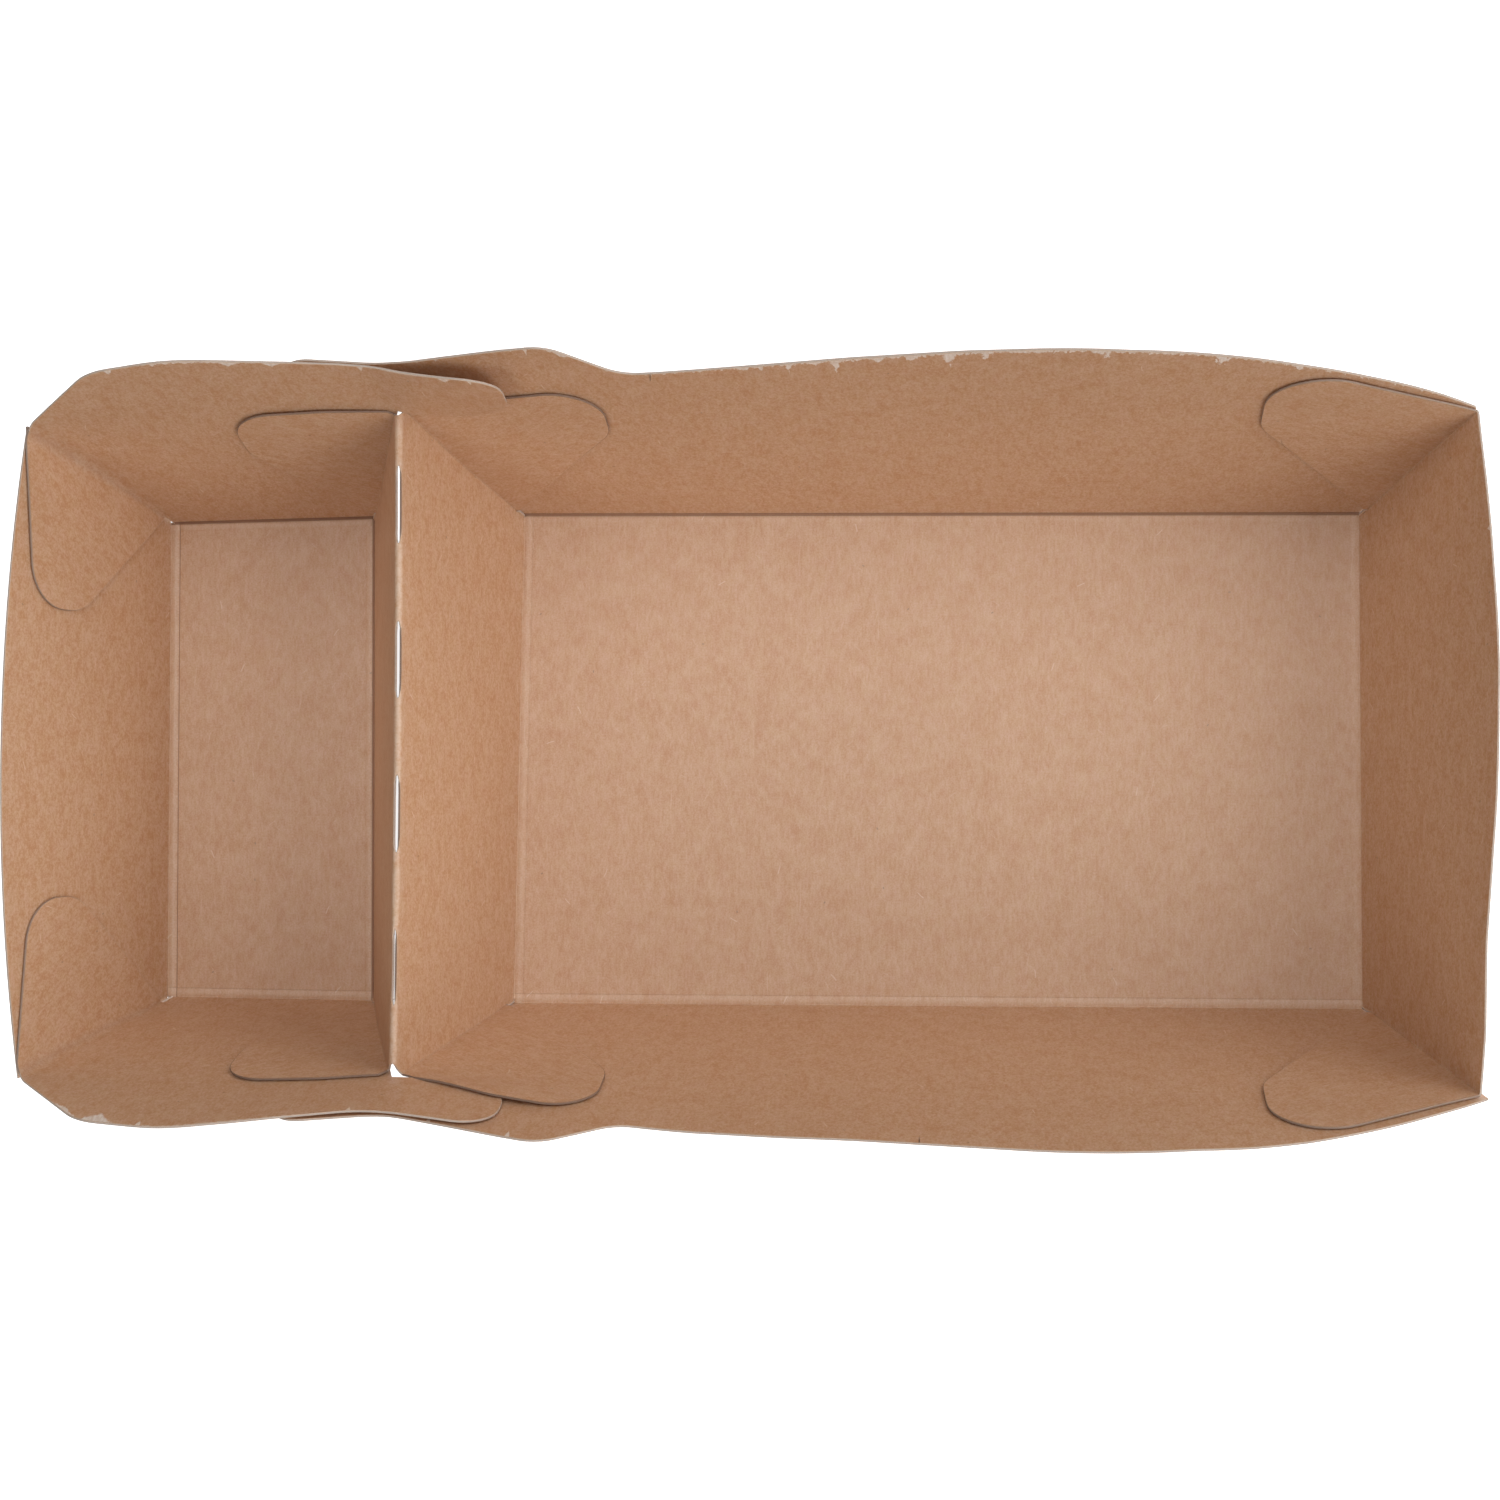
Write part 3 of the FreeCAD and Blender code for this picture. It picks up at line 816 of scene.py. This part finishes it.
shear = np.interp(x, settled["leanAt"], settled["lean"]) * z / settled["leanHeight"]
high = np.clip((z - ridgeHeight * sideCos) / settled["aboveRidge"][0], 0, settled["aboveRidge"][1])
slope = z / sideCos
press = 1 + settled["tonguePress"] * ramp(slope, *settled["tonguePressAt"])
pulls = []
for way in (1, -1):
    pulls += [
        (way, "small", settled["tonguePly"][way] * ramp(x, *settled["tongueStep"]) * press +
         settled["tongueGap"][way] * ramp(x, *settled["tongueGapAt"]) * high),
        (way, "tabRight", settled["tabPly"][way] * ramp(slope - ridgeHeight, *settled["tabHigh"]) *
         ramp(x - ridgeX, *settled["tabNear"]) * ramp(x - ridgeX, *settled["tabFar"])),
        (way, "large", -settled["largeGap"][way] * ramp(x, *settled["largeGapAt"]) * high)]
for way, key, amount in pulls:
    wall = sides[way][key]
    # towards the tray's inside
    folded[isIn(wall)] += np.outer(amount[isIn(wall)], wall["inward"])
for way in (1, -1):
    rimIn = np.interp(x, settled["rimAt"], settled["rimIn"][way])
    folded[:, 1] -= way * rimIn * ramp(way * y, *settled["rimFrom"]) * upTo("rimHeight")
amount, *where = settled["smallIn"]
lowLarge = isIn(sides[-1]["large"])
folded[:, 1] += (amount * hill(x, *where) * ramp(-y, *settled["smallFrom"]) * upTo("smallHeight") *
                 (1 - lowLarge))
endIn = np.interp(y, settled["endAt"], settled["endIn"])
folded[:, 0] -= endIn * ramp(x, *settled["endFrom"]) * upTo("endHeight")
folded[:, 1] += shear
divider = isIn(panelRight, panelLeft, *[side[key] for side in sides.values() for key in
                                        ("tabRight", "tabLeft")])
bow, half = settled["ridgeBow"]
over = settled["ridgeOver"] + bow * np.clip(1 - (y / half) ** 2, 0, 1)
folded[:, 0] += over * divider * upTo("overHeight") * ramp(np.abs(x - ridgeX), *settled["overFrom"])
bow = sum(amount * hill(y, *where) for amount, *where in settled["endBows"])
folded[:, 0] -= bow * ramp(x, *settled["endFrom"]) * upTo("endHeight")
folded[:, 0] += settled["cornerOut"] * lowLarge * ramp(x, *settled["cornerFrom"]) * upTo("cornerHeight")
height, middle, halfLong, halfWide = settled["floorCrown"]
crown = np.clip(1 - (x - middle) ** 2 / halfLong ** 2, 0, 1) * np.clip(1 - y ** 2 / halfWide ** 2, 0, 1)
folded[:, 2] += height * crown * isIn(floorLarge)
foldsAt = (leftFold, smallFold, largeFold, rightFold)
share = np.clip(0.5 + y / board["width"], 0, 1)
shifts = [share * np.interp(x, foldsAt, up) + (1 - share) * np.interp(x, foldsAt, down)
          for up, down in settled["cornerShift"]]
folded[:, :2] += np.array(shifts).T * ramp(z, *settled["cornerShiftAt"])[:, None]
mesh.vertices.foreach_set("co", (folded * mm).ravel())
mesh.update()

# the flat board's own coordinates stay with it, so that the fibres follow every fold
sheet = mesh.uv_layers.new(name="sheet")
corners = np.zeros(len(mesh.loops), dtype=np.int32)
mesh.loops.foreach_get("vertex_index", corners)
sheet.data.foreach_set("uv", (flatPlaces[corners, :2] * mm).ravel())

# how far each place on a wall is from its cut rim, beside its place along that rim; each wall has its own row
rimRows = {"tornTop": 0, "tornLow": 1, "tornLeft": 2, "tornRight": 3, "none": 9}
walls = {leftEnd["index"]: (1, rimRows["tornLeft"]), rightEnd["index"]: (1, rimRows["tornRight"])}
for way, side in sides.items():
    for key in ("large", "small"):
        walls[side[key]["index"]] = (0, rimRows["tornTop" if way > 0 else "tornLow"])
across, middle, beyond = board["rimBeyond"]
cutLine = [(a, b) for (a, b), beside in atEdges(mesh, label).items()
           if len(beside) == 1 and beside[0] in walls and
           (abs(flatPlaces[a, 1]) > across or abs(flatPlaces[a, 0] - middle) > beyond)]
samples = [flatPlaces[a] * (1 - f) + flatPlaces[b] * f for a, b in cutLine for f in (0, 0.2, 0.4, 0.6, 0.8)]
tree = kdtree.KDTree(len(samples))
for i, spot in enumerate(samples):
    tree.insert((spot[0], spot[1], 0), i)
tree.balance()
rimAway = np.array([tree.find((px, py, 0))[2] for px, py in flatPlaces[:, :2]])
rim = mesh.uv_layers.new(name="rim")
for face in mesh.polygons:
    axis, row = walls.get(label[face.index], (0, rimRows["none"]))
    for corner in face.loop_indices:
        spot = corners[corner]
        away = 1000 if row == rimRows["none"] else rimAway[spot]
        rim.data[corner].uv = (flatPlaces[spot, axis] * mm + row, away * mm)
sloped = ~isIn(floorLarge, floorSmall)
# painted shade on the cut edges: the tabs' towards their tops, where they lie against the walls, and both
# sides of the ridge's cuts
inner = np.zeros(count)
for side in sides.values():
    for key, share in board["tabDark"].items():
        inner += share * isIn(side[key])
inner *= ramp(folded[:, 2], *board["tabDarkAt"])
atCut = cutShare(flatPlaces[:, 1])[0] * (np.abs(fromCrease(ridge, flatPlaces)[0]) < board["cutNear"])
for p, share in zip((panelRight, panelLeft), board["cutDark"]):
    inner += atCut * share * isIn(p)
shown = {"bead": bead, "creaseShade": creaseShade, "rubbed": rubbed, "sloped": sloped, "inner": inner}
for name, values in shown.items():
    layer = mesh.attributes.new(name, "FLOAT", "POINT")
    layer.data.foreach_set("value", values.astype(np.float32))


def finishBoard(piece):
    # thickness, softened cut edges and smooth shading
    pick(piece)
    editAll()
    bpy.ops.mesh.normals_make_consistent(inside=False)
    bpy.ops.object.mode_set(mode="OBJECT")
    addModifier(piece, "ply", "SOLIDIFY", thickness=board["sheet"] * mm, offset=0, use_even_offset=True,
                material_offset_rim=1)
    beside = atEdges(piece.data, [face.material_index for face in piece.data.polygons])
    soft = piece.data.attributes.new("bevel_weight_edge", "FLOAT", "EDGE")
    for item, line in zip(soft.data, piece.data.edges):
        item.value = float(sorted(beside.get(line.key, ())) == [0, 1])
    addModifier(piece, "cutRound", "BEVEL", width=board["cutRound"] * mm, segments=2, limit_method="WEIGHT",
                use_clamp_overlap=False, material=2)
    bpy.ops.object.shade_smooth_by_angle(angle=math.radians(board["smoothAngle"]))
    addModifier(piece, "flats", "WEIGHTED_NORMAL", keep_sharp=True, weight=90)


# the board's materials
kraft = {
    "dark": (0.522, 0.270, 0.134, 1),
    "light": (0.630, 0.411, 0.275, 1),
    "pink": (1.0, 0.968, 1.0, 1),
    "straw": (1.0, 1.025, 0.955, 1),
    "edge": (0.56, 0.48, 0.43, 1),
    "edgeDark": (0.40, 0.33, 0.29, 1),
    "rub": (0.66, 0.52, 0.40, 1),
    "rubDark": (0.52, 0.35, 0.24, 1),
    "hair": (0.82, 0.68, 0.55, 1),
    "speck": (0.10, 0.065, 0.05, 1),
    # colour of the painted shade in the scores' folds and the beads' grooves
    "fold": (0.23, 0.110, 0.062, 1),
    # colour of the painted shade on cut edges that lie against the walls or in the ridge's cuts
    "tabEdgeShade": (0.20, 0.115, 0.075, 1),
    "tabEdgeShare": 0.75,
    "edgeNoise": {"Scale": 2600, "Detail": 3},
    "edgeRoughness": 0.9,
    "edgeShine": 0.15,
    "worn": (0.70, 0.53, 0.40, 1),
    "chip": (0.87, 0.77, 0.69, 1),
    "chipLow": (0.74, 0.59, 0.47, 1),
    "roughness": 0.48,
    "shine": 0.9,
    # noise: width and length of its spots in metres, detail, roughness, how far it shifts the tone
    "noise": {
        "cloud": (0.0034, 0.00442, 3.0, 0.6, 0.75),
        "mottle": (0.0011, 0.0019, 2.0, 0.55, 0.72),
        "streak": (0.00034, 0.0013, 2.0, 0.6, 1.0),
        "grain": (0.00023, 0.00023, 1.0, 0.6, 1.2),
        "fleck": (0.00040, 0.00052, 1.0, 0.6, 1.3),
        "broad": (0.0010, 0.0017, 3.0, 0.65, 1.2),
    },
    "tintNoise": (0.0016, 0.00224, 2.0),
    "wornNoise": (0.0005, 0.0016, 3.0, 0.6),
    "raggedNoise": (0.0006, 0.0011, 2.0, 0.6),
    "slopedStreak": -0.6,        # change of the streaks on the sloping panels
    # fibres and specks: cell, length and width in metres, share of cells, spread of directions in radians,
    # shift of the cells, strength
    "fibres": ((0.0125, 0.00065, 0.00010, 0.42, 2.6, 0.3, 0.60),
               (0.0048, 0.00060, 0.00009, 0.50, 2.4, 5.1, 0.22),
               (0.0150, 0.00170, 0.00007, 0.45, 0.35, 3.3, 0.28)),
    "specks": (0.0105, 0.00018, 0.00013, 0.25, 3.0, 9.7, 0.55),
    "curl": 3.0,                 # how far the fibres curve
    "fibreEnd": 4.0,             # how suddenly they end
    "cellSlant": 1.7,            # shift of the cells along the grain, as a share of that across it
    "beadPale": 0.16,
    "foldShadeDark": 0.9,
    "wornPatches": (2.2, -0.55),
    "chipPatches": (2.4, -0.7),
    "chipRagged": 1.6,
    "chipHard": 6.0,
    "streakGloss": 0.10,
    "foldGloss": 0.45,
    "chipGloss": 0.3,
    "bump": (0.25, 0.00003),
    # where the top ply has torn from a rim: along it, half width, depth, all in mm; the last is how ragged
    "tornTop": [
        (36, 50, 0.55, 2.2), (2.6, 1.2, 0.9, 0.8), (4.9, 0.4, 1.6, 0.8), (8.3, 0.5, 2.6, 0.7),
        (11.9, 1.4, 1.0, 0.7), (14.2, 0.7, 3.3, 0.8), (19.5, 1.2, 1.5, 0.8), (23.6, 1.4, 1.6, 1.4),
        (28.4, 1.3, 3.2, 0.8), (32.8, 1.3, 1.8, 1.2), (39.6, 1.2, 1.0, 1.0), (47.2, 1.4, 1.6, 1.5),
        (61.4, 1.3, 2.4, 1.3), (71.0, 0.8, 1.2, 1.0), (-125.4, 0.8, 1.2, 0.7), (-119.2, 0.6, 0.7, 0.7),
        (-109.6, 1.6, 1.1, 0.4), (-104.2, 1.6, 0.9, 0.4), (-93.0, 0.5, 1.2, 0.3), (-81.9, 0.9, 1.7, 0.3),
        (-78.6, 0.3, 1.2, 0.3), (-24.2, 0.3, 1.6, 0.5), (-36.2, 0.3, 0.7, 0.5), (-20.0, 2.2, 0.5, 1.2),
        (-115, 11, 0.4, 1.4), (-87, 9, 0.25, 1.0)],
    "tornLow": [
        (-125.6, 2.4, 2.6, 0.4), (-131, 2.6, 0.7, 0.8), (-119.8, 0.4, 1.7, 0.3), (-93.6, 0.4, 1.3, 0.3),
        (-36.3, 0.4, 1.4, 0.4), (-25.8, 0.4, 2.1, 0.4), (-110, 16, 0.3, 1.2)],
    "tornRight": [
        (27.9, 0.5, 0.6, 0.5), (-12, 0.4, 0.4, 0.6), (10, 30, 0.12, 1.0)],
}


nodes = {"tree": None}           # the tree that new nodes join


def feed(node, inputs):
    # each input takes a fixed value, or a link from another node
    for key, value in dict(inputs).items():
        if isinstance(value, bpy.types.NodeSocket):
            nodes["tree"].links.new(value, node.inputs[key])
        else:
            node.inputs[key].default_value = value
    return node


def addNode(kind, inputs=(), **settings):
    return feed(adjust(nodes["tree"].nodes.new("ShaderNode" + kind), **settings), inputs)


def blend(factor, low, high, kind="MIX"):
    return addNode("Mix", {0: factor, 6: low, 7: high}, data_type="RGBA", blend_type=kind).outputs[2]


def sums(kind, *values, clamp=False):
    return addNode("Math", enumerate(values), operation=kind, use_clamp=clamp).outputs[0]


def times(a, b, clamp=False):
    return sums("MULTIPLY", a, b, clamp=clamp)


def scaled(x, by, start, clamp=False):
    return sums("MULTIPLY_ADD", x, by, start, clamp=clamp)


def painted(name):
    return addNode("Attribute", attribute_name=name).outputs["Fac"]


def fuzz(vector, width, length, detail=2.0, rough=0.5):
    # noise whose spots are width by length metres
    scale = (1 / width, 1 / length, 1 / width)
    place = addNode("Mapping", {"Scale": scale, "Vector": vector}).outputs[0]
    return addNode("TexNoise", {"Scale": 1.0, "Detail": detail, "Roughness": rough, "Vector": place},
                   noise_dimensions="2D").outputs[0]


def hairs(vector, cell, long, wide, share, spin, shift):
    # one short curved fibre in a share of the cells
    place = addNode("Mapping", {"Location": (shift, shift * kraft["cellSlant"], 0),
                                "Scale": (1 / cell, 1 / cell, 1), "Vector": vector}).outputs[0]
    cells = addNode("TexVoronoi", {"Scale": 1.0, "Vector": place}, voronoi_dimensions="2D", feature="F1")
    middle = cells.outputs["Position"]
    arm = addNode("VectorMath", {0: place, 1: middle}, operation="SUBTRACT")
    turning, curling, chance = addNode("SeparateColor", {0: cells.outputs["Color"]}).outputs
    angle = scaled(turning, spin, math.pi / 2 - spin / 2)
    turned = addNode("VectorRotate", {"Vector": arm.outputs[0], "Angle": angle}, rotation_type="Z_AXIS")
    x, y, z = addNode("SeparateXYZ", {0: turned.outputs[0]}).outputs
    curve = times(sums("POWER", x, 2.0), scaled(curling, kraft["curl"], -kraft["curl"] / 2))
    off = sums("ABSOLUTE", sums("SUBTRACT", y, curve))
    body = sums("SUBTRACT", 1.0, sums("DIVIDE", off, wide / cell), clamp=True)
    out = sums("DIVIDE", sums("ABSOLUTE", x), long / cell)
    end = times(sums("SUBTRACT", 1.0, out, clamp=True), kraft["fibreEnd"])
    body = times(body, sums("MINIMUM", end, 1.0))
    return times(body, sums("LESS_THAN", chance, share))


def newMaterial(name):
    material = bpy.data.materials.new(name)
    material.use_nodes = True
    nodes["tree"] = material.node_tree
    return material, material.node_tree.nodes["Principled BSDF"]


def makeKraft(name, look):
    material, shader = newMaterial(name)
    place = addNode("UVMap", uv_map="sheet").outputs[0]
    # formation of the sheet: every noise shifts a middle tone; the sloping panels are more marked than the
    # floors, and less streaked
    sloped = painted("sloped")
    share = {"streak": scaled(sloped, look["slopedStreak"], 1.0), "fleck": sloped, "broad": sloped}
    noise, tone = {}, None
    for key, (*size, gain) in look["noise"].items():
        noise[key] = fuzz(place, *size)
        part = scaled(noise[key], gain, -gain / 2)
        part = times(part, share[key]) if key in share else part
        tone = part if tone is None else sums("ADD", tone, part)
    colour = blend(sums("ADD", tone, 0.5, clamp=True), look["dark"], look["light"])
    tint = blend(fuzz(place, *look["tintNoise"]), look["pink"], look["straw"])
    colour = blend(1.0, colour, tint, "MULTIPLY")
    # single fibres: short bright ones, faint ones, long thin ones along the grain; dark specks
    fibres = 0.0
    for *shape, strength in look["fibres"]:
        fibres = sums("MAXIMUM", fibres, times(hairs(place, *shape), strength))
    colour = blend(fibres, colour, look["hair"])
    *shape, strength = look["specks"]
    colour = blend(times(hairs(place, *shape), strength), colour, look["speck"])
    # scores: pale where the board is raised or rubbed, and painted shade darkens the fold itself
    colour = blend(times(painted("bead"), look["beadPale"]), colour, look["hair"])
    patchy = scaled(fuzz(place, *look["wornNoise"]), *look["wornPatches"])
    colour = blend(times(painted("rubbed"), patchy, True), colour, look["worn"])
    # painted shade in the folds and grooves
    shadedFold = painted("creaseShade")
    colour = blend(times(shadedFold, look["foldShadeDark"]), colour, look["fold"])
    # chips along the rims, where the top ply is gone and the pale inside shows
    rimPlace = addNode("UVMap", uv_map="rim").outputs[0]
    x, y, z = addNode("SeparateXYZ", {0: rimPlace}).outputs
    wobble = sums("SUBTRACT", fuzz(rimPlace, *look["raggedNoise"]), 0.5)
    torn = None
    for key in ("tornTop", "tornLow", "tornRight"):
        for spot, half, deep, rough in look[key]:
            off = sums("ABSOLUTE", sums("SUBTRACT", x, spot * mm + rimRows[key]))
            left = scaled(y, -1 / (deep * mm), scaled(off, -1 / (half * mm), 1.0))
            left = scaled(wobble, rough * look["chipRagged"], left)
            torn = left if torn is None else sums("MAXIMUM", torn, left)
    torn = times(torn, look["chipHard"], True)
    paleness = scaled(noise["streak"], *look["chipPatches"], True)
    colour = blend(torn, colour, blend(paleness, look["chipLow"], look["chip"]))
    gloss = scaled(noise["streak"], look["streakGloss"], look["roughness"] - look["streakGloss"] / 2)
    gloss = scaled(torn, look["chipGloss"], scaled(shadedFold, look["foldGloss"], gloss))
    strength, distance = look["bump"]
    height = sums("ADD", noise["streak"], noise["grain"])
    bump = addNode("Bump", {"Strength": strength, "Distance": distance, "Height": height})
    feed(shader, {"Base Color": colour, "Roughness": gloss, "Specular IOR Level": look["shine"],
                  "Normal": bump.outputs[0]})
    return material


def makeEdge(name, dark, pale):
    # a cut or rubbed edge: paler and uneven
    material, shader = newMaterial(name)
    place = addNode("TexCoord").outputs["Object"]
    cloud = addNode("TexNoise", {**kraft["edgeNoise"], "Vector": place})
    colour = blend(cloud.outputs[0], dark, pale)
    # painted shade: the tabs' own edges, which lie close against the walls, and the edges of the ridge's cuts
    # are darkened
    deep = times(painted("inner"), kraft["tabEdgeShare"])
    feed(shader, {"Base Color": blend(deep, colour, kraft["tabEdgeShade"]), "Roughness": kraft["edgeRoughness"],
                  "Specular IOR Level": kraft["edgeShine"]})
    return material


for material in (makeKraft("kraftFace", kraft), makeEdge("kraftEdge", kraft["edgeDark"], kraft["edge"]),
                 makeEdge("kraftRub", kraft["rubDark"], kraft["rub"])):
    tray.data.materials.append(material)
finishBoard(tray)
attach(tray, "root")
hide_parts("tray")
print("board: finished,", len(tray.data.polygons), "faces")

# floor, light and camera
studio = {
    "floorSize": 4.0,
    "floorDrop": 0.0001,
    "floorGrey": 0.80,
    "floorRough": 0.9,
    "floorGlow": 0.88,
    "world": 0.06,
    "lampSize": 0.6,
    "lampDistance": 1.2,
    "lampAim": (0, 0, 0.02),
    # each softbox: direction round the tray, height angle, watts
    "lamps": {
        "overhead": (0, 90, 1.5),
        "highBack": (90, 65, 3.45),
        "highBackLeft": (135, 65, 0.6),
        "right": (0, 42, 3.1),
        "rightFront": (315, 42, 2.8),
        "leftFront": (225, 42, 2.7),
        "lowRightBack": (45, 22, 3.3),
        "lowRight": (0, 22, 1.2),
        "lowRightFront": (315, 22, 2.6),
    },
    "camera": (0.035126, -0.012803, 0.365213),
    "cameraTurn": (2.189, 5.5577, 0.2412),
    "lens": 62.756,
    "sensor": 36,
    "clipStart": 0.01,
}
bpy.ops.object.select_all(action="DESELECT")
bpy.ops.mesh.primitive_plane_add(size=studio["floorSize"], location=(0, 0, -studio["floorDrop"]))
ground = bpy.context.object
ground.name = "studioFloor"
bpy.ops.object.transform_apply(location=True, rotation=True, scale=True)
paper, shader = newMaterial("studioPaper")
rays = addNode("LightPath").outputs
seen = sums("MAXIMUM", rays["Is Camera Ray"], rays["Is Glossy Ray"])
seen = sums("MAXIMUM", seen, rays["Is Transmission Ray"])
feed(shader, {"Base Color": (studio["floorGrey"],) * 3 + (1,), "Roughness": studio["floorRough"],
              "Emission Color": (1, 1, 1, 1), "Emission Strength": times(seen, studio["floorGlow"])})
ground.data.materials.append(paper)

world = bpy.data.worlds.new("studioWorld")
bpy.context.scene.world = world
world.use_nodes = True
nodes["tree"] = world.node_tree
rays = addNode("LightPath").outputs
choose = addNode("Mix", {0: rays["Is Camera Ray"], 2: studio["world"], 3: 1.0})
feed(world.node_tree.nodes["Background"], {"Color": (1, 1, 1, 1), "Strength": choose.outputs[0]})

for name, (azimuth, height, power) in studio["lamps"].items():
    (across, ahead), (up, out) = turn(azimuth), turn(height)
    way = Vector((out * ahead, out * across, up))
    bpy.ops.object.light_add(type="AREA", location=Vector(studio["lampAim"]) + way * studio["lampDistance"])
    lamp = bpy.context.object
    lamp.name = name
    adjust(lamp.data, shape="SQUARE", size=studio["lampSize"], energy=power)
    lamp.rotation_euler = (-way).to_track_quat("-Z", "Y").to_euler()

bpy.ops.object.camera_add(location=studio["camera"],
                          rotation=[math.radians(a) for a in studio["cameraTurn"]])
camera = bpy.context.object
adjust(camera.data, sensor_width=studio["sensor"], lens=studio["lens"], clip_start=studio["clipStart"])
bpy.context.scene.camera = camera
bpy.context.scene.view_settings.view_transform = "Standard"
print("studio: floor, lamps and camera set")
